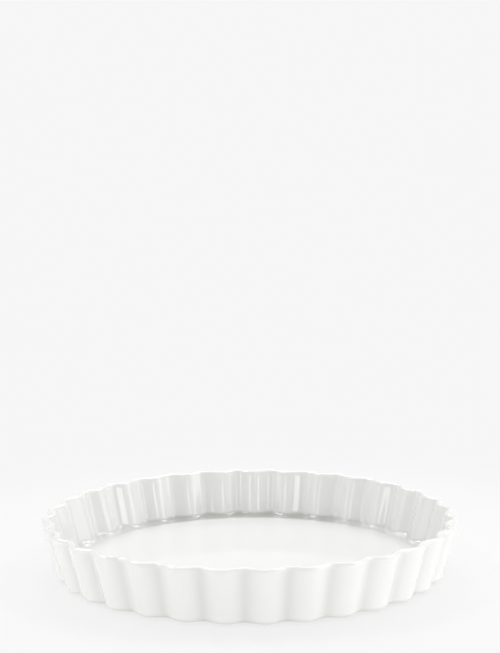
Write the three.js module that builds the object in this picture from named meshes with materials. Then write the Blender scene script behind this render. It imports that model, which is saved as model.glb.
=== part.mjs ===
// A fluted pie dish in glazed porcelain: one fired body, its coat of glaze and the glazed field under its base.
// Millimetres, +Z up. The origin is the centre of the foot ring, on the plane that the dish stands on.
import * as THREE from 'three';

// Overall sizes, over the glaze
const RIM_DIAMETER = 280;
const DISH_HEIGHT = 37.5;

// Fluted wall of the fired body
const FLUTE_COUNT = 32;
const FLUTE_DEPTH = 4.4;
const WALL_THICKNESS = 4.2;
const WALL_DRAFT_DEGREES = 16;

// Floor and base of the fired body
const FLOOR_THICKNESS = 3.4;
const FLOOR_FILLET = 4;
const BASE_CORNER = 3;

// Foot ring, set in from the narrowest part of the base
const FOOT_HEIGHT = 1.3;
const FOOT_WIDTH = 4;
const FOOT_INSET = 8;

// Glaze
const GLAZE_THICKNESS = 0.3;

// How finely the curves are divided
const STEPS_PER_FLUTE = 6;
const RIM_STEPS = 2;
const FILLET_STEPS = 2;

// Sizes that follow from those above
const STEPS_AROUND = FLUTE_COUNT * STEPS_PER_FLUTE;
const FLUTE_AMPLITUDE = FLUTE_DEPTH / 2;
const DRAFT = THREE.MathUtils.degToRad(WALL_DRAFT_DEGREES);
const FLOOR_TOP = FOOT_HEIGHT + FLOOR_THICKNESS;

// Half of the wall, square to its faces, for a skin that lies a given depth of glaze outside the fired body
function halfWall(glaze) {
  return WALL_THICKNESS / 2 + glaze;
}

// The same half of the wall, measured level
function levelHalfWall(glaze) {
  return halfWall(glaze) / Math.cos(DRAFT);
}

// The wall's middle surface ends at the centre of the rounded rim
const RIM_CENTRE_HEIGHT = DISH_HEIGHT - halfWall(GLAZE_THICKNESS);
const RIM_CENTRE_RADIUS = RIM_DIAMETER / 2 - FLUTE_AMPLITUDE - halfWall(GLAZE_THICKNESS);

// Mean radius of the wall's middle surface at a height
function wallRadius(height) {
  return RIM_CENTRE_RADIUS - (RIM_CENTRE_HEIGHT - height) * Math.tan(DRAFT);
}

// The floor is a plain disc that ends where the fillet reaches the innermost line of the flutes
const FLOOR_RADIUS = wallRadius(FLOOR_TOP) - levelHalfWall(0) - FLUTE_AMPLITUDE - FLOOR_FILLET;

// The foot ring's outer and inner faces
const BASE_RADIUS = wallRadius(FOOT_HEIGHT) + levelHalfWall(0) - FLUTE_AMPLITUDE - BASE_CORNER;
const FOOT_OUTER_RADIUS = BASE_RADIUS - FOOT_INSET;
const FOOT_INNER_RADIUS = FOOT_OUTER_RADIUS - FOOT_WIDTH;

// A level ring of points: a circle waved once for each flute, then pushed along its own normal in plan
function flutedRing(meanRadius, push, height) {
  return Array.from({ length: STEPS_AROUND }, (_, step) => {
    const angle = (2 * Math.PI * step) / STEPS_AROUND;
    const radius = meanRadius + FLUTE_AMPLITUDE * Math.cos(FLUTE_COUNT * angle);
    const slope = -FLUTE_AMPLITUDE * FLUTE_COUNT * Math.sin(FLUTE_COUNT * angle);
    const outward = new THREE.Vector2(Math.cos(angle), Math.sin(angle));
    const along = new THREE.Vector2(-Math.sin(angle), Math.cos(angle));
    const normal = outward.clone().multiplyScalar(radius).addScaledVector(along, -slope).normalize();
    const point = outward.multiplyScalar(radius).addScaledVector(normal, push);
    return new THREE.Vector3(point.x, point.y, height);
  });
}

// A level ring of points on a plain circle
function plainRing(radius, height) {
  return Array.from({ length: STEPS_AROUND }, (_, step) => {
    const angle = (2 * Math.PI * step) / STEPS_AROUND;
    return new THREE.Vector3(radius * Math.cos(angle), radius * Math.sin(angle), height);
  });
}

// The rings of a rounded corner from one ring to another, drawn towards the ring where the two faces would meet
function roundedCorner(from, corner, to) {
  const rings = [];
  for (let step = 1; step < FILLET_STEPS; step += 1) {
    const share = step / FILLET_STEPS;
    rings.push(from.map((start, index) => {
      const curve = new THREE.QuadraticBezierCurve3(start, corner[index], to[index]);
      return curve.getPoint(share);
    }));
  }
  return rings;
}

// The rings across the rounded rim: from the top of the inner face to the rim's top, then to its outermost line
function rimRings(glaze) {
  const turns = [];
  for (let step = 0; step < RIM_STEPS; step += 1) {
    turns.push(THREE.MathUtils.lerp(Math.PI - DRAFT, Math.PI / 2, step / RIM_STEPS));
  }
  for (let step = 0; step <= RIM_STEPS; step += 1) {
    turns.push(THREE.MathUtils.lerp(Math.PI / 2, 0, step / RIM_STEPS));
  }
  const radius = halfWall(glaze);
  return turns.map((turn) => {
    const height = RIM_CENTRE_HEIGHT + radius * Math.sin(turn);
    return flutedRing(RIM_CENTRE_RADIUS, radius * Math.cos(turn), height);
  });
}

// The whole skin from the edge of the floor, up the wall, over the rim and down to the foot ring's outer side
function skinRings(glaze) {
  const floorLevel = FLOOR_TOP + glaze;
  const baseLevel = FOOT_HEIGHT - glaze;
  const half = levelHalfWall(glaze);

  const floorEdge = plainRing(FLOOR_RADIUS, floorLevel);
  const insideCorner = flutedRing(wallRadius(floorLevel), -half, floorLevel);
  const filletTop = FLOOR_TOP + FLOOR_FILLET;
  const insideFoot = flutedRing(wallRadius(filletTop), -half, filletTop);

  const cornerTop = FOOT_HEIGHT + BASE_CORNER;
  const outsideFoot = flutedRing(wallRadius(cornerTop), half, cornerTop);
  const outsideCorner = flutedRing(wallRadius(baseLevel), half, baseLevel);
  const baseEdge = flutedRing(wallRadius(FOOT_HEIGHT), levelHalfWall(0) - BASE_CORNER, baseLevel);

  return [
    floorEdge,
    ...roundedCorner(floorEdge, insideCorner, insideFoot),
    insideFoot,
    ...rimRings(glaze),
    outsideFoot,
    ...roundedCorner(outsideFoot, outsideCorner, baseEdge),
    baseEdge,
    plainRing(FOOT_OUTER_RADIUS, baseLevel),
  ];
}

// Collects rings and the triangles between them into one closed solid
class RingSolid {
  constructor() {
    this.points = [];
    this.triangles = [];
  }

  // Adds points and returns the index of the first
  addPoints(points) {
    const first = this.points.length;
    this.points.push(...points);
    return first;
  }

  // Adds one triangle, turned over where the surface faces the other way
  addTriangle(a, b, c, turned) {
    this.triangles.push(...(turned ? [a, c, b] : [a, b, c]));
  }

  // Joins a point on the axis to a ring
  addFan(centre, ring, turned) {
    for (let step = 0; step < STEPS_AROUND; step += 1) {
      this.addTriangle(centre, ring + step, ring + ((step + 1) % STEPS_AROUND), turned);
    }
  }

  // Joins one ring to the next
  addBand(first, second, turned) {
    for (let step = 0; step < STEPS_AROUND; step += 1) {
      const next = (step + 1) % STEPS_AROUND;
      this.addTriangle(first + step, second + step, second + next, turned);
      this.addTriangle(first + step, second + next, first + next, turned);
    }
  }

  // Adds a disc-like surface that starts on the axis and runs out through its rings, and returns its last ring
  addSkin(centreHeight, rings, turned) {
    const centre = this.addPoints([new THREE.Vector3(0, 0, centreHeight)]);
    const starts = rings.map((ring) => this.addPoints(ring));
    this.addFan(centre, starts[0], turned);
    for (let index = 1; index < starts.length; index += 1) {
      this.addBand(starts[index - 1], starts[index], turned);
    }
    return starts[starts.length - 1];
  }

  // The finished geometry
  geometry() {
    const geometry = new THREE.BufferGeometry().setFromPoints(this.points);
    geometry.setIndex(this.triangles);
    geometry.computeVertexNormals();
    return geometry;
  }
}

// The fired body: its skin down to the foot ring, the foot ring's bare faces and the recess inside them
function porcelainBody() {
  const solid = new RingSolid();
  const footOuterFace = plainRing(FOOT_OUTER_RADIUS, 0);
  const footInnerFace = plainRing(FOOT_INNER_RADIUS, 0);
  const upper = solid.addSkin(FLOOR_TOP, [...skinRings(0), footOuterFace, footInnerFace], false);
  const recess = solid.addSkin(FOOT_HEIGHT, [plainRing(FOOT_INNER_RADIUS, FOOT_HEIGHT)], true);
  solid.addBand(upper, recess, false);
  return solid.geometry();
}

// The coat of glaze: a shell between the fired body's skin and the same skin one glaze thickness further out
function glazeCoat() {
  const solid = new RingSolid();
  const outer = solid.addSkin(FLOOR_TOP + GLAZE_THICKNESS, skinRings(GLAZE_THICKNESS), false);
  const inner = solid.addSkin(FLOOR_TOP, skinRings(0), true);
  solid.addBand(outer, inner, false);
  return solid.geometry();
}

// The glazed field under the base, a thin disc that fills the recess inside the foot ring from side to side
function baseGlaze() {
  const solid = new RingSolid();
  const lowerHeight = FOOT_HEIGHT - GLAZE_THICKNESS;
  const upper = solid.addSkin(FOOT_HEIGHT, [plainRing(FOOT_INNER_RADIUS, FOOT_HEIGHT)], false);
  const lower = solid.addSkin(lowerHeight, [plainRing(FOOT_INNER_RADIUS, lowerHeight)], true);
  solid.addBand(upper, lower, false);
  return solid.geometry();
}

// Finishes
const barePorcelain = new THREE.MeshStandardMaterial({ color: 0xe9e6df, roughness: 0.8, metalness: 0 });
const whiteGlaze = new THREE.MeshStandardMaterial({ color: 0xf3f3ef, roughness: 0.12, metalness: 0 });
const undersideGlaze = new THREE.MeshStandardMaterial({ color: 0xf1f1ed, roughness: 0.2, metalness: 0 });

// One named sub-part
function subPart(name, geometry, material) {
  const mesh = new THREE.Mesh(geometry, material);
  mesh.name = name;
  return mesh;
}

const pieDish = new THREE.Group();
pieDish.add(subPart('porcelain_body', porcelainBody(), barePorcelain));
pieDish.add(subPart('glaze_coat', glazeCoat(), whiteGlaze));
pieDish.add(subPart('base_glaze', baseGlaze(), undersideGlaze));

export default pieDish;
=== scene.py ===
"""Looks of a fluted pie dish in white glazed porcelain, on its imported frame. All lengths are in metres."""

import logging
import math
from dataclasses import dataclass, field
from enum import Enum
from typing import Any

import bpy
import numpy as np
from mathutils import Matrix, Vector


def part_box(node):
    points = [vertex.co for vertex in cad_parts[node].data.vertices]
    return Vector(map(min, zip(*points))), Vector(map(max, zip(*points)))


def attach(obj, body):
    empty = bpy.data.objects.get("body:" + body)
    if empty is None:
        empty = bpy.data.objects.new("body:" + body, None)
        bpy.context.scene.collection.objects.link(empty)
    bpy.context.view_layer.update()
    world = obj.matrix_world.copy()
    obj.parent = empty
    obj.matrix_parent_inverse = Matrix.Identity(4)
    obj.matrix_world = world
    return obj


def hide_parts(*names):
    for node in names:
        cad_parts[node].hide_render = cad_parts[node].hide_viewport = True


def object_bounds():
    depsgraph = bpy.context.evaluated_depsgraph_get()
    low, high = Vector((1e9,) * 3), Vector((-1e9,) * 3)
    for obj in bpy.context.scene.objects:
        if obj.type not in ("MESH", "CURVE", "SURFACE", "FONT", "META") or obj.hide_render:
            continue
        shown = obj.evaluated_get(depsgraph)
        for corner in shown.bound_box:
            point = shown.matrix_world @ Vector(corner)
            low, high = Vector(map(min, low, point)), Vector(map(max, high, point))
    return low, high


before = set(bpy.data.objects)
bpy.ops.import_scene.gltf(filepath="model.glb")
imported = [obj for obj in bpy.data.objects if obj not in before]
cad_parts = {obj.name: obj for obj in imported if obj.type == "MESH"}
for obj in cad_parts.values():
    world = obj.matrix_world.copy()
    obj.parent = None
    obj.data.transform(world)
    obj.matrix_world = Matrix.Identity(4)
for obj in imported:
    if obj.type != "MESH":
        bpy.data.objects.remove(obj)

CAD_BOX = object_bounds()
LOG = logging.getLogger("pie_dish")

MM = 0.001

# The picture's longer side in pixels, and the width in millimetres of the camera's sensor, which spans it
IMAGE_HEIGHT = 653
SENSOR_WIDTH = 36.0

# Coordinates of a point, rows of the matrix of a place, and corners of a mesh's faces
AXES = 3
MATRIX_ROWS = 4
TRIANGLE_CORNERS, QUAD_CORNERS = 3, 4

# Places of the sockets of a Math or Vector Math node
MATH_FIRST, MATH_SECOND = 0, 1

# Places of a Mix node's sockets when it blends colours
MIX_SHARE, MIX_FIRST, MIX_SECOND, MIX_RESULT = 0, 6, 7, 2

# Places of a Mix Shader node's sockets
BLEND_SHARE, BLEND_FIRST, BLEND_SECOND = 0, 1, 2

Colour = tuple[float, float, float]
PURE_WHITE: Colour = (1.0, 1.0, 1.0)
OPAQUE = 1.0


class Body(Enum):
    """The rigid bodies of the frame that a piece can ride on."""

    DISH = "root"


class Slot(Enum):
    """The record's material slots."""

    BARE_PORCELAIN = "bare_porcelain"
    WHITE_GLAZE = "white_glaze"


class Outline(Enum):
    """Outlines of a lamp's face."""

    RECTANGULAR = "RECTANGLE"
    ROUND = "DISK"


class Mask(Enum):
    """Names of the mesh attributes that tell a finish where it is on the dish."""

    # Partly pooling glaze, partly painted shade in the hollow, the grooves and the base's edge.
    POOLED = "glaze_pooled"
    THINNED = "glaze_thinned"


class Tone:
    """One output socket of a shader tree. Python arithmetic on it adds Math nodes to the tree."""

    def __init__(self, tree: "ShaderTree", socket: bpy.types.NodeSocket) -> None:
        """Wraps a socket.

        Args:
            tree: The shader tree that holds the socket's node.
            socket: The output socket to wrap.
        """
        self.tree = tree
        self.socket = socket

    def _math(self, operation: str, first: Any, second: Any) -> "Tone":
        """Adds one Math node.

        Args:
            operation: The Math node's operation.
            first: Its first value, a number or a Tone.
            second: Its second value, a number or a Tone.

        Returns:
            The node's result.
        """
        sockets = {MATH_FIRST: first, MATH_SECOND: second}
        return self.tree.add("ShaderNodeMath", {"operation": operation}, sockets)

    def __add__(self, other: Any) -> "Tone":
        """Sum."""
        return self._math("ADD", self, other)

    def __radd__(self, other: Any) -> "Tone":
        """Sum with a number on the left."""
        return self._math("ADD", other, self)

    def __sub__(self, other: Any) -> "Tone":
        """Difference."""
        return self._math("SUBTRACT", self, other)

    def __rsub__(self, other: Any) -> "Tone":
        """Difference from a number on the left."""
        return self._math("SUBTRACT", other, self)

    def __mul__(self, other: Any) -> "Tone":
        """Product."""
        return self._math("MULTIPLY", self, other)

    def __rmul__(self, other: Any) -> "Tone":
        """Product with a number on the left."""
        return self._math("MULTIPLY", other, self)

    def at_least(self, other: Any) -> "Tone":
        """The larger of the two."""
        return self._math("MAXIMUM", self, other)


class ShaderTree:
    """A node tree of a material or of the world, filled by code."""

    def __init__(self, owner: bpy.types.ID) -> None:
        """Empties the owner's node tree.

        Args:
            owner: The material or world whose tree is filled.
        """
        owner.use_nodes = True
        self.tree = owner.node_tree
        self.tree.nodes.clear()

    def add(
        self,
        kind: str,
        settings: dict[str, Any] | None = None,
        sockets: dict[Any, Any] | None = None,
        output: Any = 0,
    ) -> Tone:
        """Adds any node.

        Args:
            kind: The node's type.
            settings: Its own settings, set first.
            sockets: Its inputs by name or number, each a number, a colour or a Tone to link.
            output: The name or number of the output to hand back.

        Returns:
            The chosen output, or an empty Tone from a node without outputs.
        """
        node = self.tree.nodes.new(kind)
        for key, value in (settings or {}).items():
            setattr(node, key, value)
        for key, value in (sockets or {}).items():
            target = node.inputs[key]
            if isinstance(value, Tone):
                self.tree.links.new(value.socket, target)
            elif isinstance(value, tuple) and target.type == "RGBA":
                target.default_value = (*value, OPAQUE)
            else:
                target.default_value = value
        found = node.outputs[output] if len(node.outputs) else None
        return Tone(self, found)

    def mix_colour(self, share: Tone, first: Any, second: Any) -> Tone:
        """Blends two colours.

        Args:
            share: How much of the second colour shows, from 0 to 1.
            first: A colour or a Tone.
            second: A colour or a Tone.

        Returns:
            The blended colour.
        """
        settings = {"data_type": "RGBA", "clamp_factor": True}
        sockets = {MIX_SHARE: share, MIX_FIRST: first, MIX_SECOND: second}
        return self.add("ShaderNodeMix", settings, sockets, output=MIX_RESULT)

    def mix_shader(self, share: Tone, first: Tone, second: Tone) -> Tone:
        """Blends two shaders.

        Args:
            share: How much of the second shader shows, from 0 to 1.
            first: A shader.
            second: Another shader.

        Returns:
            The blended shader.
        """
        sockets = {BLEND_SHARE: share, BLEND_FIRST: first, BLEND_SECOND: second}
        return self.add("ShaderNodeMixShader", None, sockets)

    def noise(self, place: Tone, scale: float, detail: float) -> Tone:
        """Cloudy noise.

        Args:
            place: The coordinates that it reads.
            scale: Cells in a metre.
            detail: How many finer layers it has.

        Returns:
            A value from 0 to 1, about 0.5 on average.
        """
        return self.add("ShaderNodeTexNoise", None, {"Vector": place, "Scale": scale, "Detail": detail})

    def spread(self, value: Tone, low: float, high: float) -> Tone:
        """Stretches a range of values to the range from 0 to 1, smoothly and clamped.

        Args:
            value: The value to map.
            low: Start of its range, which becomes 0.
            high: End of its range, which becomes 1.

        Returns:
            The mapped value.
        """
        settings = {"interpolation_type": "SMOOTHSTEP"}
        return self.add("ShaderNodeMapRange", settings, {"Value": value, "From Min": low, "From Max": high})

    def bump(self, height: Tone, depth: float) -> Tone:
        """A relief of a depth in metres, as a normal."""
        return self.add("ShaderNodeBump", None, {"Strength": 1.0, "Distance": depth, "Height": height})

    def object_place(self) -> Tone:
        """The piece's own coordinates."""
        return self.add("ShaderNodeTexCoord", output="Object")

    def attribute(self, mask: Mask) -> Tone:
        """A mesh attribute as a value."""
        return self.add("ShaderNodeAttribute", {"attribute_name": mask.value}, output="Fac")


@dataclass(frozen=True)
class GlazeFinish:
    """White gloss glaze: tinted darker where it pools and where shade is painted in the hollows and grooves,
    warmer where it has run thin, with orange peel.
    """

    name: str
    colour: Colour
    cloud_colour: Colour
    pooled_and_shade_colour: Colour
    thinned_colour: Colour
    roughness: float
    roughness_spread: float
    peel_depth: float
    peel_per_metre: float
    cloud_per_metre: float
    cloud_range: tuple[float, float] = (0.35, 0.75)
    cloud_share: float = 0.5
    thinned_least: float = 0.6
    cloud_detail: float = 3.0
    peel_detail: float = 1.5
    refraction: float = 1.52

    def build(self) -> bpy.types.Material:
        """Makes the material.

        Returns:
            The new material.
        """
        material = bpy.data.materials.new(self.name)
        tree = ShaderTree(material)
        place = tree.object_place()
        clouds = tree.spread(tree.noise(place, self.cloud_per_metre, self.cloud_detail), *self.cloud_range)
        white = tree.mix_colour(self.cloud_share * clouds, self.colour, self.cloud_colour)
        # Painted shade mixed with real pooling: the mask darkens the hollow at the floor's edge, the outer
        # grooves and the base's edge.
        pooled = tree.mix_colour(tree.attribute(Mask.POOLED), white, self.pooled_and_shade_colour)
        patchy = self.thinned_least + (1.0 - self.thinned_least) * clouds
        colour = tree.mix_colour(tree.attribute(Mask.THINNED) * patchy, pooled, self.thinned_colour)
        peel = tree.bump(tree.noise(place, self.peel_per_metre, self.peel_detail), self.peel_depth)
        dullness = self.roughness + self.roughness_spread * clouds
        sockets = {"Base Color": colour, "Roughness": dullness, "IOR": self.refraction, "Normal": peel}
        shader = tree.add("ShaderNodeBsdfPrincipled", None, sockets)
        tree.add("ShaderNodeOutputMaterial", None, {"Surface": shader})
        return material


@dataclass(frozen=True)
class BareFinish:
    """Fired porcelain with no glaze: matt, fine-grained, and greyed and polished in worn patches."""

    name: str
    colour: Colour
    grain_colour: Colour
    roughness: float
    polish: float
    grain_depth: float
    grain_per_metre: float
    wear_per_metre: float
    wear_range: tuple[float, float] = (0.45, 0.7)
    grain_share: float = 0.35
    wear_share: float = 0.4
    detail: float = 4.0

    def build(self) -> bpy.types.Material:
        """Makes the material.

        Returns:
            The new material.
        """
        material = bpy.data.materials.new(self.name)
        tree = ShaderTree(material)
        place = tree.object_place()
        grain = tree.noise(place, self.grain_per_metre, self.detail)
        wear = tree.spread(tree.noise(place, self.wear_per_metre, self.detail), *self.wear_range)
        greyed = self.grain_share * grain + self.wear_share * wear
        colour = tree.mix_colour(greyed, self.colour, self.grain_colour)
        dullness = self.roughness - self.polish * wear
        relief = tree.bump(grain, self.grain_depth)
        sockets = {"Base Color": colour, "Roughness": dullness, "Normal": relief}
        shader = tree.add("ShaderNodeBsdfPrincipled", None, sockets)
        tree.add("ShaderNodeOutputMaterial", None, {"Surface": shader})
        return material


@dataclass(frozen=True)
class FloorFinish:
    """A pale studio floor that takes the dish's soft shadow and fades to the backdrop's white around it."""

    name: str
    colour: Colour
    backdrop: Colour
    shadow_share: float
    near: float
    far: float
    cloud_per_metre: float = 3.0
    cloud_detail: float = 2.0
    cloud_share: float = 0.04

    def build(self) -> bpy.types.Material:
        """Makes the material: partly lit paper near the dish, and the backdrop's own white further out.

        Returns:
            The new material.
        """
        material = bpy.data.materials.new(self.name)
        tree = ShaderTree(material)
        place = tree.object_place()
        length = {"operation": "LENGTH"}
        distance = tree.add("ShaderNodeVectorMath", length, {MATH_FIRST: place}, output="Value")
        lit_share = self.shadow_share * (1.0 - tree.spread(distance, self.near, self.far))
        clouds = tree.noise(place, self.cloud_per_metre, self.cloud_detail)
        paper = tree.mix_colour(self.cloud_share * clouds, self.colour, self.backdrop)
        lit = tree.add("ShaderNodeBsdfDiffuse", None, {"Color": paper})
        white = tree.add("ShaderNodeEmission", None, {"Color": self.backdrop, "Strength": 1.0})
        share = seen_share(tree) * (1.0 - lit_share)
        tree.add("ShaderNodeOutputMaterial", None, {"Surface": tree.mix_shader(share, lit, white)})
        return material


def seen_share(tree: ShaderTree) -> Tone:
    """1 for rays from the eye and for mirrored and passed rays, 0 for rays that carry light.

    Args:
        tree: The shader tree that uses it.

    Returns:
        The share.
    """
    kinds = ("Is Camera Ray", "Is Glossy Ray", "Is Transmission Ray")
    eye, mirrored, passed = [tree.add("ShaderNodeLightPath", output=kind) for kind in kinds]
    return eye.at_least(mirrored).at_least(passed)


WHITE_GLAZE = GlazeFinish(
    name="white_glaze",
    colour=(0.86, 0.861, 0.845),
    cloud_colour=(0.85, 0.852, 0.835),
    # The darker tint stands for pooling glaze and also for painted shade in the hollow and the grooves.
    pooled_and_shade_colour=(0.575, 0.578, 0.545),
    thinned_colour=(0.86, 0.858, 0.838),
    roughness=0.05,
    roughness_spread=0.02,
    peel_depth=0.02 * MM,
    peel_per_metre=260.0,
    cloud_per_metre=28.0,
)

UNDERSIDE_GLAZE = GlazeFinish(
    name="underside_glaze",
    colour=(0.85, 0.852, 0.832),
    cloud_colour=(0.82, 0.825, 0.8),
    # Under the base this tint marks only the glaze's edge on the foot ring, where it pools; no shade is
    # painted here.
    pooled_and_shade_colour=(0.7, 0.71, 0.68),
    thinned_colour=(0.83, 0.82, 0.785),
    roughness=0.12,
    roughness_spread=0.07,
    peel_depth=0.04 * MM,
    peel_per_metre=190.0,
    cloud_per_metre=22.0,
)

BARE_PORCELAIN = BareFinish(
    name="bare_porcelain",
    colour=(0.8, 0.785, 0.745),
    grain_colour=(0.66, 0.64, 0.6),
    roughness=0.82,
    polish=0.12,
    grain_depth=0.04 * MM,
    grain_per_metre=1400.0,
    wear_per_metre=35.0,
)

STUDIO_FLOOR = FloorFinish(
    name="studio_floor",
    colour=(0.95, 0.95, 0.95),
    backdrop=(0.9216, 0.9216, 0.9216),
    shadow_share=0.25,
    near=0.16,
    far=0.4,
)


def closed_mesh(
    name: str, start: np.ndarray, rows: np.ndarray, end: np.ndarray, masks: dict[Mask, np.ndarray]
) -> bpy.types.Object:
    """A closed solid from rings of points that run from one point on the axis to another.

    Neighbouring rings are joined by quads, and the first and last ring to their axis points by triangles.

    Args:
        name: The piece's name.
        start: The first point on the axis.
        rows: Rings of points, an array of rings, points around and three coordinates.
        end: The last point on the axis.
        masks: Values for each ring and point, by attribute. An axis point takes the nearest ring's mean.

    Returns:
        The new object, smooth-shaded, at the origin.
    """
    rings, around, _ = rows.shape
    points = np.concatenate([start[None], rows.reshape(-1, AXES), end[None]])
    # Point 0 is the start, then come the rings, and the last point is the end
    here = 1 + np.arange(rings * around).reshape(rings, around)
    beside = np.roll(here, -1, axis=1)
    quads = np.stack([here[:-1], here[1:], beside[1:], beside[:-1]], axis=-1).reshape(-1, QUAD_CORNERS)
    last = len(points) - 1
    first_fan = np.stack([np.zeros(around, int), here[0], beside[0]], axis=-1)
    last_fan = np.stack([np.full(around, last), beside[-1], here[-1]], axis=-1)
    corners = np.concatenate([first_fan.ravel(), quads.ravel(), last_fan.ravel()]).astype(np.int32)
    fan_sizes = np.full(around, TRIANGLE_CORNERS)
    sizes = np.concatenate([fan_sizes, np.full(len(quads), QUAD_CORNERS), fan_sizes])
    starts = np.concatenate([[0], np.cumsum(sizes)[:-1]]).astype(np.int32)

    mesh = bpy.data.meshes.new(name)
    mesh.vertices.add(len(points))
    mesh.vertices.foreach_set("co", points.astype(np.float32).ravel())
    mesh.loops.add(len(corners))
    mesh.loops.foreach_set("vertex_index", corners)
    mesh.polygons.add(len(sizes))
    mesh.polygons.foreach_set("loop_start", starts)
    mesh.polygons.foreach_set("use_smooth", np.ones(len(sizes), bool))
    mesh.update(calc_edges=True)
    mesh.validate()
    for mask, values in masks.items():
        flat = np.concatenate([[values[0].mean()], values.ravel(), [values[-1].mean()]])
        layer = mesh.attributes.new(mask.value, "FLOAT", "POINT")
        layer.data.foreach_set("value", flat.astype(np.float32))
    piece = bpy.data.objects.new(name, mesh)
    bpy.context.scene.collection.objects.link(piece)
    return piece


@dataclass
class Patch:
    """Some rings of the dish's skin, and two masks with one value for each of their points."""

    rows: np.ndarray
    pooled: np.ndarray
    thinned: np.ndarray

    def turned_over(self) -> "Patch":
        """The same rings in the other order."""
        return Patch(self.rows[::-1], self.pooled[::-1], self.thinned[::-1])

    def masks(self) -> dict[Mask, np.ndarray]:
        """The masks by attribute."""
        return {Mask.POOLED: self.pooled, Mask.THINNED: self.thinned}


def joined(patches: list[Patch]) -> Patch:
    """Patches one after another as one.

    Args:
        patches: Patches with as many points around.

    Returns:
        The joined patch.
    """
    return Patch(
        np.concatenate([p.rows for p in patches]),
        np.concatenate([p.pooled for p in patches]),
        np.concatenate([p.thinned for p in patches]),
    )


def eased(value: np.ndarray, low: float, high: float) -> np.ndarray:
    """A smooth step from 0 at low to 1 at high: three squares less two cubes of the share of the way."""
    share = np.clip((value - low) / (high - low), 0.0, 1.0)
    return share**2 * (3.0 - 2.0 * share)


def level_of(ring: np.ndarray) -> float:
    """The height of a level ring of points."""
    return ring[0, -1]


@dataclass(frozen=True)
class Ripple:
    """A slight wave that firing leaves in the wall: waves in a turn, share, start and lean."""

    per_turn: int
    share: float
    start: float
    lean: float


RIPPLES = (
    Ripple(per_turn=3, share=0.5, start=0.7, lean=0.0),
    Ripple(per_turn=19, share=0.35, start=4.0, lean=-2.2),
    Ripple(per_turn=61, share=0.5, start=1.2, lean=3.1),
    Ripple(per_turn=87, share=0.35, start=0.4, lean=-4.3),
)


@dataclass(frozen=True)
class Fineness:
    """How many steps each part of a skin is divided into, from ring to ring."""

    wall: int
    fillet: int
    rim: int
    corner: int
    foot: int


FINE = Fineness(wall=10, fillet=14, rim=20, corner=10, foot=4)
COARSE = Fineness(wall=4, fillet=5, rim=8, corner=4, foot=3)

# Radii of the rings that divide a flat disc, as shares of its own
DISC_SHARES = (0.25, 0.5, 0.75)


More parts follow.
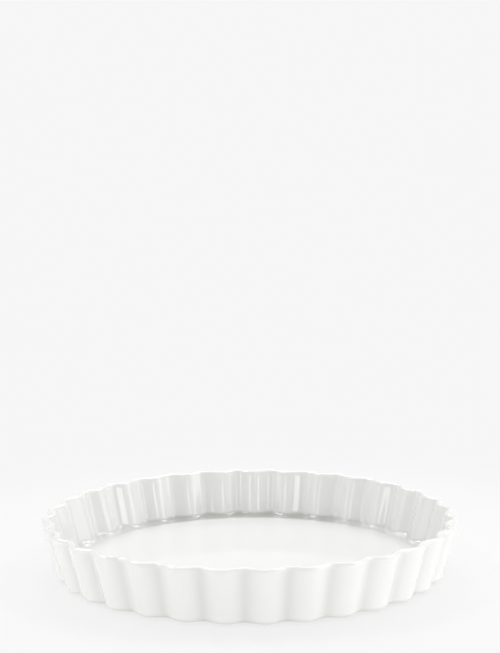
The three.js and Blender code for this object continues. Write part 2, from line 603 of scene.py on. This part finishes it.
@dataclass
class DishForm:
    """The dish's shape: a waved wall between a plain floor and a rounded rim, as rings of points."""

    flute_count: int = 32
    flute_depth: float = 4.4 * MM
    wall_thickness: float = 4.2 * MM
    draft: float = math.radians(16.0)
    floor_thickness: float = 3.4 * MM
    floor_fillet: float = 4.0 * MM
    base_corner: float = 3.0 * MM
    foot_width: float = 4.0 * MM
    foot_inset: float = 8.0 * MM
    # The tint in the hollow at the floor's edge, spread a little onto the floor, is partly pooling glaze and
    # partly painted shade, deepest at the back and lighter to either side.
    pool_and_shade_width: float = 6.0 * MM
    pool_and_shade_steps: int = 4
    pool_and_shade_fade: tuple[float, float] = (0.6, 1.0)
    back_shade_side: float = math.radians(86.0)
    back_shade_reach: tuple[float, float] = (math.cos(math.radians(48.0)), math.cos(math.radians(22.0)))
    pool_and_shade_least: float = 0.35
    # The outer grooves and the rim's outer side are darkened: partly pooling glaze, partly painted shade.
    groove_pooling_and_shade: float = 0.32
    groove_narrowness: int = 2
    climb: float = 0.3 * MM
    climb_width: float = 1.2 * MM
    climb_pooling: float = 0.6
    # The base's edge is darkened towards the bottom: partly gathered glaze, partly painted shade.
    corner_pooling_and_shade: float = 0.47
    points_per_flute: int = 24
    unevenness: float = 0.05 * MM
    foot_height: float = field(init=False)
    glaze: float = field(init=False)
    rim_radius: float = field(init=False)
    height: float = field(init=False)
    amplitude: float = field(init=False)
    floor_top: float = field(init=False)
    rim_centre_height: float = field(init=False)
    rim_centre_radius: float = field(init=False)
    around: int = field(init=False)
    angles: np.ndarray = field(init=False)
    floor_radius: float = field(init=False)
    foot_outer: float = field(init=False)
    foot_inner: float = field(init=False)

    def __post_init__(self) -> None:
        """Takes the sizes that the frame gives, and works out those that follow."""
        low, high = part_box("base_glaze")
        self.foot_height = high.z
        self.glaze = high.z - low.z
        lowest, highest = CAD_BOX
        self.rim_radius = (highest.x - lowest.x) / 2
        self.height = highest.z - lowest.z
        self.amplitude = self.flute_depth / 2
        self.floor_top = self.foot_height + self.floor_thickness
        self.rim_centre_height = self.height - self.half_wall(self.glaze)
        self.rim_centre_radius = self.rim_radius - self.amplitude - self.half_wall(self.glaze)
        self.around = self.flute_count * self.points_per_flute
        self.angles = np.arange(self.around) * (2 * math.pi / self.around)
        inner_line = self.wall_radius(self.floor_top) - self.level_half(0.0) - self.amplitude
        self.floor_radius = inner_line - self.floor_fillet
        base_line = self.wall_radius(self.foot_height) + self.level_half(0.0) - self.amplitude
        self.foot_outer = base_line - self.base_corner - self.foot_inset
        self.foot_inner = self.foot_outer - self.foot_width

    def half_wall(self, glaze: float) -> float:
        """Half of the wall square to its faces, with a depth of glaze on it."""
        return self.wall_thickness / 2 + glaze

    def level_half(self, glaze: float) -> float:
        """Half of the wall measured level, with a depth of glaze on it."""
        return self.half_wall(glaze) / math.cos(self.draft)

    def wall_radius(self, height: float) -> float:
        """Mean radius of the wall's middle surface at a height."""
        return self.rim_centre_radius - (self.rim_centre_height - height) * math.tan(self.draft)

    def sway(self, height: float) -> np.ndarray:
        """How far inwards the ripples bring the wall: each adds its share times one less a sine.

        Args:
            height: Height above the table.

        Returns:
            The inward distance at each angle.
        """
        up = height / self.height
        turns = [r.per_turn * self.angles + r.start + r.lean * up for r in RIPPLES]
        waves = [r.share * (1.0 - np.sin(turn)) for r, turn in zip(RIPPLES, turns)]
        return self.unevenness * np.sum(waves, axis=0)

    def pool_and_back_shade_share(self) -> np.ndarray:
        """How deep the glaze pools at each angle, with painted shade that is full at the back and fades to
        either side.

        Returns:
            A share from the least to 1, eased by the cosine of the angle from that side.
        """
        nearness = eased(np.cos(self.angles - self.back_shade_side), *self.back_shade_reach)
        return self.pool_and_shade_least + (1.0 - self.pool_and_shade_least) * nearness

    def groove_pool_and_shade_share(self) -> np.ndarray:
        """How much the outer grooves are darkened at each angle: partly pooling glaze, partly painted shade.

        Returns:
            A power of half of one less the flutes' cosine, times the most that a groove holds.
        """
        nearness = (1.0 - np.cos(self.flute_count * self.angles)) / 2
        return self.groove_pooling_and_shade * nearness**self.groove_narrowness

    def fluted(self, mean_radius: float, push: float, height: float) -> np.ndarray:
        """A circle waved once for each flute, pushed along its own normal in plan.

        Args:
            mean_radius: Radius half way between crest and groove.
            push: Distance outwards along the normal.
            height: Height above the table.

        Returns:
            One ring of points.
        """
        t = self.angles
        radius = mean_radius + self.amplitude * np.cos(self.flute_count * t)
        slope = -self.amplitude * self.flute_count * np.sin(self.flute_count * t)
        outward = np.stack([np.cos(t), np.sin(t)], axis=-1)
        along = np.stack([-np.sin(t), np.cos(t)], axis=-1)
        normal = radius[:, None] * outward - slope[:, None] * along
        normal /= np.linalg.norm(normal, axis=-1, keepdims=True)
        plan = (radius - self.sway(height))[:, None] * outward + push * normal
        return np.concatenate([plan, np.full((self.around, 1), height)], axis=-1)

    def plain(self, radius: float, height: float) -> np.ndarray:
        """A circle of points at a height."""
        t = self.angles
        return np.stack([radius * np.cos(t), radius * np.sin(t), np.full_like(t, height)], axis=-1)

    def discs(self, radius: float, height: float, shares: tuple[float, ...]) -> np.ndarray:
        """Circles at a height whose radii are shares of one radius."""
        return np.stack([self.plain(radius * share, height) for share in shares])

    def patch(
        self, rows: np.ndarray, pooled: np.ndarray | float = 0.0, thinned: np.ndarray | float = 0.0
    ) -> Patch:
        """Rings with their masks.

        Args:
            rows: The rings.
            pooled: How deep the glaze lies and how much shade is painted there, from 0 to 1: one value, or a
                value
            for each ring, for each angle or for each point.
            thinned: How thin it has run, from 0 to 1, in the same way.

        Returns:
            The patch.
        """
        full = [np.broadcast_to(mask, rows.shape[:2]).astype(float) for mask in (pooled, thinned)]
        return Patch(rows, *full)

    def ruled(self, first: np.ndarray, second: np.ndarray, steps: int) -> np.ndarray:
        """Rings on straight lines from one ring to another, without the two ends."""
        share = np.linspace(0, 1, steps + 1)[1:-1, None, None]
        return (1 - share) * first + share * second

    def rounded(self, first: np.ndarray, corner: np.ndarray, second: np.ndarray, steps: int) -> np.ndarray:
        """Rings on a curve of second degree between two rings, drawn to a corner ring, with both ends."""
        share = np.linspace(0, 1, steps + 1)[:, None, None]
        return (1 - share) ** 2 * first + 2 * share * (1 - share) * corner + share**2 * second

    def wall(self, push: float, first: float, last: float, steps: int) -> np.ndarray:
        """Rings on one face of the leaning wall from one height to another, without the two ends."""
        heights = np.linspace(first, last, steps + 1)[1:-1]
        return np.stack([self.fluted(self.wall_radius(height), push, height) for height in heights])

    def rim(self, glaze: float, steps: int) -> np.ndarray:
        """Rings on the half round of the rim, from its inner to its outer side, square to the wall.

        Args:
            glaze: Depth of glaze on the fired body.
            steps: Steps over the rim.

        Returns:
            The rings, pushed out by half the wall times a turn's cosine and raised by that times its sine.
        """
        radius = self.half_wall(glaze)
        turns = np.linspace(math.pi - self.draft, -self.draft, steps + 1)
        heights = self.rim_centre_height + radius * np.sin(turns)
        pushes = radius * np.cos(turns)
        return np.stack([self.fluted(self.rim_centre_radius, p, h) for p, h in zip(pushes, heights)])

    def floor_patch(self, glaze: float) -> Patch:
        """The floor without its edge: discs, then rings where the glaze starts to pool and painted shade
        begins, by a square law.

        Args:
            glaze: Depth of glaze that the floor lies above the fired body.

        Returns:
            The patch.
        """
        level = self.floor_top + glaze
        inside = self.floor_radius - self.pool_and_shade_width
        nearness = np.linspace(0.0, 1.0, self.pool_and_shade_steps + 1)[:-1]
        margin = np.stack([self.plain(inside + self.pool_and_shade_width * near, level) for near in nearness])
        return joined([
            self.patch(self.discs(inside, level, DISC_SHARES)),
            self.patch(margin, pooled=nearness[:, None] ** 2 * self.pool_and_back_shade_share()),
        ])

    def fillet_patch(self, glaze: float, steps: int) -> Patch:
        """The hollow between floor and wall, with pooling glaze and painted shade at the floor, deepest at
        the back, and none at the wall.

        Args:
            glaze: Depth of glaze on the fired body.
            steps: Steps from the floor's edge to the wall.

        Returns:
            The patch.
        """
        level = self.floor_top + glaze
        top = self.floor_top + self.floor_fillet
        half = self.level_half(glaze)
        rows = self.rounded(
            self.plain(self.floor_radius, level),
            self.fluted(self.wall_radius(level), -half, level),
            self.fluted(self.wall_radius(top), -half, top),
            steps,
        )
        along = np.linspace(0.0, 1.0, steps + 1)[:, None]
        return self.patch(rows, pooled=(1.0 - eased(along, *self.pool_and_shade_fade)) * self.pool_and_back_shade_share())

    def corner_patch(self, glaze: float, steps: int) -> Patch:
        """The rounded corner from the outer wall to the base, where the glaze that ran down has gathered;
        its darkening towards the base and in the grooves is partly painted shade.

        Args:
            glaze: Depth of glaze on the fired body.
            steps: Steps from the wall to the base.

        Returns:
            The patch.
        """
        top = self.foot_height + self.base_corner
        level = self.foot_height - glaze
        half = self.level_half(glaze)
        rows = self.rounded(
            self.fluted(self.wall_radius(top), half, top),
            self.fluted(self.wall_radius(level), half, level),
            self.fluted(self.wall_radius(self.foot_height), self.level_half(0.0) - self.base_corner, level),
            steps,
        )
        along = np.linspace(0.0, 1.0, steps + 1)[:, None]
        return self.patch(rows, pooled=self.groove_pool_and_shade_share() + self.corner_pooling_and_shade * along)

    def foot_patch(self, base_edge: np.ndarray, glaze: float, steps: int) -> Patch:
        """The base in to the foot ring, and the glaze's edge, which climbs down the ring in a hollow.

        Args:
            base_edge: The last ring of the rounded corner.
            glaze: Depth of glaze under the fired body; the bare body has no climbing edge.
            steps: Steps across the base, and as many in the edge.

        Returns:
            The patch.
        """
        level = self.foot_height - glaze
        climb = self.climb if glaze else 0.0
        start = self.plain(self.foot_outer + self.climb_width, level)
        inner_corner = self.plain(self.foot_outer, level)
        edge = self.rounded(start, inner_corner, self.plain(self.foot_outer, level - climb), steps)
        along = np.linspace(0.0, 1.0, steps + 1)[:, None]
        return joined([
            self.patch(self.ruled(base_edge, start, steps)),
            self.patch(edge, pooled=self.climb_pooling * along),
        ])

    def skin(self, glaze: float, fineness: Fineness) -> Patch:
        """The skin from the floor up the wall, over the rim and down to the foot ring's outer side.

        Args:
            glaze: Depth of glaze that the skin lies outside the fired body.
            fineness: How finely it is divided.

        Returns:
            The skin's rings with their masks.
        """
        fillet = self.fillet_patch(glaze, fineness.fillet)
        rim = self.rim(glaze, fineness.rim)
        corner = self.corner_patch(glaze, fineness.corner)
        half = self.level_half(glaze)
        inner_wall = self.wall(-half, level_of(fillet.rows[-1]), level_of(rim[0]), fineness.wall)
        outer_wall = self.wall(half, level_of(rim[-1]), level_of(corner.rows[0]), fineness.wall)
        over = np.linspace(0.0, math.pi, fineness.rim + 1)[:, None]
        return joined([
            self.floor_patch(glaze),
            fillet,
            self.patch(inner_wall),
            # The rim's outer half and the outer wall take the grooves' painted shade; the rim runs thin all
            # over.
            self.patch(rim, eased(over, math.pi / 2, math.pi) * self.groove_pool_and_shade_share(), np.sin(over) ** 2),
            self.patch(outer_wall, self.groove_pool_and_shade_share()),
            corner,
            self.foot_patch(corner.rows[-1], glaze, fineness.foot),
        ])


@dataclass
class DishPiece:
    """A piece of the dish: what it is called, what it stands for and what it is finished with."""

    form: DishForm
    name: str
    node: str
    slot: Slot
    finish: GlazeFinish | BareFinish

    def mesh(self) -> bpy.types.Object:
        """Makes the piece's mesh; each kind of piece has its own."""
        raise NotImplementedError

    def build(self) -> bpy.types.Object:
        """Makes the piece, dresses it and ties it to the frame.

        Returns:
            The finished object.
        """
        piece = self.mesh()
        piece.data.materials.append(self.finish.build())
        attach(piece, Body.DISH.value)
        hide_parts(self.node)
        LOG.info("%s: %d faces, stands for %s", piece.name, len(piece.data.polygons), self.node)
        return piece


@dataclass
class GlazeCoat(DishPiece):
    """The coat of glaze inside, over the rim and outside: a closed shell that ends at the foot ring."""

    outer: Fineness = FINE
    inner: Fineness = COARSE

    def mesh(self) -> bpy.types.Object:
        """The shell: the outer skin out to the foot ring's side, and the inner skin back again.

        Returns:
            The new object.
        """
        form = self.form
        shell = joined([form.skin(form.glaze, self.outer), form.skin(0.0, self.inner).turned_over()])
        start = np.array([0.0, 0.0, form.floor_top + form.glaze])
        end = np.array([0.0, 0.0, form.floor_top])
        return closed_mesh(self.name, start, shell.rows, end, shell.masks())


@dataclass
class PorcelainBody(DishPiece):
    """The fired body: its skin under the glaze, and the bare foot ring with the recess inside it."""

    fineness: Fineness = COARSE
    foot_round: float = 0.5 * MM
    foot_steps: int = 4

    def mesh(self) -> bpy.types.Object:
        """The solid: the skin down to the foot ring, the ring's softened bare face and the recess inside.

        Returns:
            The new object.
        """
        form = self.form
        soft = self.foot_round
        outer_side = form.rounded(
            form.plain(form.foot_outer, soft),
            form.plain(form.foot_outer, 0.0),
            form.plain(form.foot_outer - soft, 0.0),
            self.foot_steps,
        )
        inner_side = form.rounded(
            form.plain(form.foot_inner + soft, 0.0),
            form.plain(form.foot_inner, 0.0),
            form.plain(form.foot_inner, soft),
            self.foot_steps,
        )
        recess = form.discs(form.foot_inner, form.foot_height, (1.0, *DISC_SHARES[::-1]))
        bare = [form.patch(rows) for rows in (outer_side, inner_side, recess)]
        solid = joined([form.skin(0.0, self.fineness), *bare])
        start = np.array([0.0, 0.0, form.floor_top])
        end = np.array([0.0, 0.0, form.foot_height])
        return closed_mesh(self.name, start, solid.rows, end, solid.masks())


@dataclass
class BaseGlaze(DishPiece):
    """The field of glaze in the recess under the base. Its edge climbs down the foot ring's inner side."""

    steps: int = 6

    def mesh(self) -> bpy.types.Object:
        """The disc: the face on the body, the side on the foot ring, the hollow edge and the lower face.

        Returns:
            The new object.
        """
        form = self.form
        top = form.foot_height
        low = top - form.glaze
        upper = form.discs(form.foot_inner, top, (*DISC_SHARES, 1.0))
        edge = form.rounded(
            form.plain(form.foot_inner, low - form.climb),
            form.plain(form.foot_inner, low),
            form.plain(form.foot_inner - form.climb_width, low),
            self.steps,
        )
        along = np.linspace(1.0, 0.0, self.steps + 1)[:, None]
        disc = joined([
            form.patch(upper),
            form.patch(edge, pooled=form.climb_pooling * along),
            form.patch(form.discs(form.foot_inner, low, DISC_SHARES[::-1])),
        ])
        start = np.array([0.0, 0.0, top])
        end = np.array([0.0, 0.0, low])
        return closed_mesh(self.name, start, disc.rows, end, disc.masks())


def direction(azimuth: float, elevation: float) -> Vector:
    """The direction from the dish to something around it.

    Args:
        azimuth: Angle from the front to the right, in degrees.
        elevation: Angle above the table, in degrees.

    Returns:
        A vector of length 1.
    """
    around, up = math.radians(azimuth), math.radians(elevation)
    return Vector((math.cos(up) * math.sin(around), -math.cos(up) * math.cos(around), math.sin(up)))


def facing(place: Vector, towards: Vector) -> Matrix:
    """The place of a lamp that is turned along a direction, with its upper edge up."""
    return Matrix.Translation(place) @ towards.to_track_quat("-Z", "Y").to_matrix().to_4x4()


def turned(angle: float, axis: str) -> Matrix:
    """A turn about an axis by an angle in radians."""
    return Matrix.Rotation(angle, MATRIX_ROWS, axis)


@dataclass(frozen=True)
class Lamp:
    """A studio light with an even face: its size and how bright the face is, where 1 is paper white."""

    name: str
    width: float
    depth: float
    brightness: float

    def placing(self) -> Matrix:
        """Where the lamp stands and which way it faces; each kind of lamp has its own."""
        raise NotImplementedError

    def outline(self) -> Outline:
        """The outline of the lamp's face."""
        return Outline.RECTANGULAR

    def mirrored(self) -> bool:
        """Whether the glaze mirrors the lamp's face."""
        return True

    def shining(self) -> bool:
        """Whether the lamp lights matt surfaces."""
        return True

    def area(self) -> float:
        """The area of the lamp's face."""
        return self.width * self.depth

    def build(self) -> bpy.types.Object:
        """Makes the lamp. Its power is its face's area times its brightness times pi.

        Returns:
            The lamp's object.
        """
        lamp = bpy.data.lights.new(self.name, "AREA")
        lamp.shape = self.outline().value
        lamp.size = self.width
        lamp.size_y = self.depth
        lamp.energy = self.brightness * self.area() * math.pi
        obj = bpy.data.objects.new(self.name, lamp)
        obj.matrix_world = self.placing()
        obj.visible_camera = False
        obj.visible_glossy = self.mirrored()
        obj.visible_diffuse = self.shining()
        bpy.context.scene.collection.objects.link(obj)
        return obj


@dataclass(frozen=True)
class SoftBox(Lamp):
    """A soft box on a stand, turned to the dish. Azimuth runs from the front to the right, in degrees."""

    azimuth: float
    elevation: float
    distance: float = 1.4

    def placing(self) -> Matrix:
        """Stands the box at its direction and distance from the dish and turns it there."""
        place = self.distance * direction(self.azimuth, self.elevation)
        return facing(place, -place)


@dataclass(frozen=True)
class GlossBar(SoftBox):
    """A bar for the gloss alone: the glaze mirrors it, and no matt surface takes light straight from it."""

    def shining(self) -> bool:
        """A bar for the gloss lights nothing matt."""
        return False


@dataclass(frozen=True)
class LowStrip(Lamp):
    """A strip that stands on the table, about as high as the rim, and lights the outside of the dish."""

    azimuth: float
    distance: float = 0.5

    def placing(self) -> Matrix:
        """Stands the strip upright on the table, turned to the dish."""
        away = self.distance * direction(self.azimuth, 0.0)
        return facing(away + Vector((0.0, 0.0, self.depth / 2)), -away)


@dataclass(frozen=True)
class LightPad(Lamp):
    """A round pad of light on the table, a little wider than the rim, that lights the wall's foot."""

    lift: float = 0.05 * MM

    def placing(self) -> Matrix:
        """Lays the pad on the table, face up."""
        return Matrix.Translation((0.0, 0.0, self.lift)) @ turned(math.pi, "X")

    def outline(self) -> Outline:
        """A round face."""
        return Outline.ROUND

    def mirrored(self) -> bool:
        """No mirror image: the table's own white shows in the glaze."""
        return False

    def area(self) -> float:
        """A circle's area."""
        return math.pi / 4 * self.width * self.depth


@dataclass(frozen=True)
class Viewpoint:
    """Where the picture is taken from, measured from the middle of the rim. Angles are in degrees."""

    azimuth: float
    elevation: float
    distance: float
    pitch_down: float
    turn_right: float
    roll: float
    focal_pixels: float

    def build(self, rim_height: float) -> bpy.types.Object:
        """Makes the camera, level but for its pitch and roll.

        Args:
            rim_height: Height of the rim above the table.

        Returns:
            The camera's object.
        """
        camera = bpy.data.cameras.new("camera")
        camera.sensor_width = SENSOR_WIDTH
        camera.lens = self.focal_pixels * SENSOR_WIDTH / IMAGE_HEIGHT
        obj = bpy.data.objects.new("camera", camera)
        rim_centre = Vector((0.0, 0.0, rim_height))
        place = rim_centre + self.distance * direction(self.azimuth, self.elevation)
        heading = math.radians(self.azimuth - self.turn_right)
        pitch = math.pi / 2 - math.radians(self.pitch_down)
        aim = turned(heading, "Z") @ turned(pitch, "X") @ turned(math.radians(self.roll), "Z")
        obj.matrix_world = Matrix.Translation(place) @ aim
        bpy.context.scene.collection.objects.link(obj)
        bpy.context.scene.camera = obj
        return obj


@dataclass
class Studio:
    """The floor, the pale surroundings, the soft lights and the camera."""

    viewpoint: Viewpoint
    lights: tuple[Lamp, ...]
    floor: FloorFinish
    surround_light: float
    floor_side: float = 80.0
    floor_cells: int = 8

    def build_floor(self) -> None:
        """Lays the floor, a grid of quads at table height."""
        lines = self.floor_cells + 1
        side = np.linspace(-self.floor_side / 2, self.floor_side / 2, lines)
        x, y = np.meshgrid(side, side, indexing="ij")
        points = np.stack([x, y, np.zeros_like(x)], axis=-1).reshape(-1, AXES)
        number = np.arange(lines * lines).reshape(lines, lines)
        corners = [number[:-1, :-1], number[1:, :-1], number[1:, 1:], number[:-1, 1:]]
        faces = np.stack(corners, axis=-1).reshape(-1, len(corners))
        mesh = bpy.data.meshes.new("studio_floor")
        mesh.from_pydata(points.tolist(), [], faces.tolist())
        mesh.materials.append(self.floor.build())
        floor = bpy.data.objects.new("studio_floor", mesh)
        bpy.context.scene.collection.objects.link(floor)

    def build_surround(self) -> None:
        """Makes the world: an even light on the dish, and the backdrop's white for eye and reflections."""
        world = bpy.data.worlds.new("surround")
        bpy.context.scene.world = world
        tree = ShaderTree(world)
        even = {"Color": PURE_WHITE, "Strength": self.surround_light}
        light = tree.add("ShaderNodeBackground", None, even)
        white = tree.add("ShaderNodeBackground", None, {"Color": self.floor.backdrop, "Strength": 1.0})
        shader = tree.mix_shader(seen_share(tree), light, white)
        tree.add("ShaderNodeOutputWorld", None, {"Surface": shader})

    def build(self, rim_height: float) -> None:
        """Sets up the whole studio.

        Args:
            rim_height: Height of the rim above the table.
        """
        bpy.context.scene.view_settings.view_transform = "Standard"
        self.build_floor()
        self.build_surround()
        for light in self.lights:
            light.build()
        self.viewpoint.build(rim_height)


STUDIO = Studio(
    viewpoint=Viewpoint(
        azimuth=-4.05,
        elevation=13.89,
        distance=1.029,
        pitch_down=6.87,
        turn_right=0.0614,
        roll=-0.45,
        focal_pixels=1511.7,
    ),
    lights=(
        SoftBox("back_box", width=0.5, depth=0.5, brightness=3.6, azimuth=180.0, elevation=58.0),
        SoftBox("back_strip", width=0.9, depth=0.1, brightness=8.0, azimuth=178.0, elevation=37.0),
        SoftBox("high_right_box", width=0.6, depth=0.2, brightness=9.0, azimuth=118.0, elevation=50.0),
        SoftBox("high_left_box", width=0.5, depth=0.15, brightness=10.0, azimuth=-120.0, elevation=51.0),
        GlossBar("left_gloss_bar", width=1.2, depth=0.18, brightness=9.0, azimuth=-108.0, elevation=58.0),
        GlossBar("right_gloss_bar", width=1.2, depth=0.18, brightness=8.0, azimuth=102.0, elevation=58.0),
        SoftBox("right_box", width=0.8, depth=0.5, brightness=1.9, azimuth=84.0, elevation=18.0),
        SoftBox("left_box", width=0.5, depth=0.5, brightness=1.0, azimuth=-88.0, elevation=18.0),
        SoftBox("right_strip", width=0.24, depth=0.35, brightness=4.0, azimuth=27.0, elevation=14.0),
        SoftBox("left_strip", width=0.22, depth=0.35, brightness=3.1, azimuth=-45.0, elevation=14.0),
        SoftBox("front_box", width=0.4, depth=0.4, brightness=0.8, azimuth=0.0, elevation=30.0),
        LowStrip("low_right_strip", width=0.26, depth=0.04, brightness=6.8, azimuth=40.0),
        LowStrip("low_left_strip", width=0.26, depth=0.04, brightness=6.0, azimuth=-60.0),
        LightPad("light_pad", width=0.3, depth=0.3, brightness=0.17),
    ),
    floor=STUDIO_FLOOR,
    surround_light=0.63,
)


def main() -> None:
    """Builds the dish and the studio."""
    logging.basicConfig(level=logging.INFO, format="%(name)s %(message)s")
    form = DishForm()
    pieces: list[DishPiece] = [
        PorcelainBody(form, "porcelain_core", "porcelain_body", Slot.BARE_PORCELAIN, BARE_PORCELAIN),
        GlazeCoat(form, "glaze_skin", "glaze_coat", Slot.WHITE_GLAZE, WHITE_GLAZE),
        BaseGlaze(form, "underside_glaze", "base_glaze", Slot.WHITE_GLAZE, UNDERSIDE_GLAZE),
    ]
    for piece in pieces:
        piece.build()
    STUDIO.build(form.height)


if __name__ == "__main__":
    main()
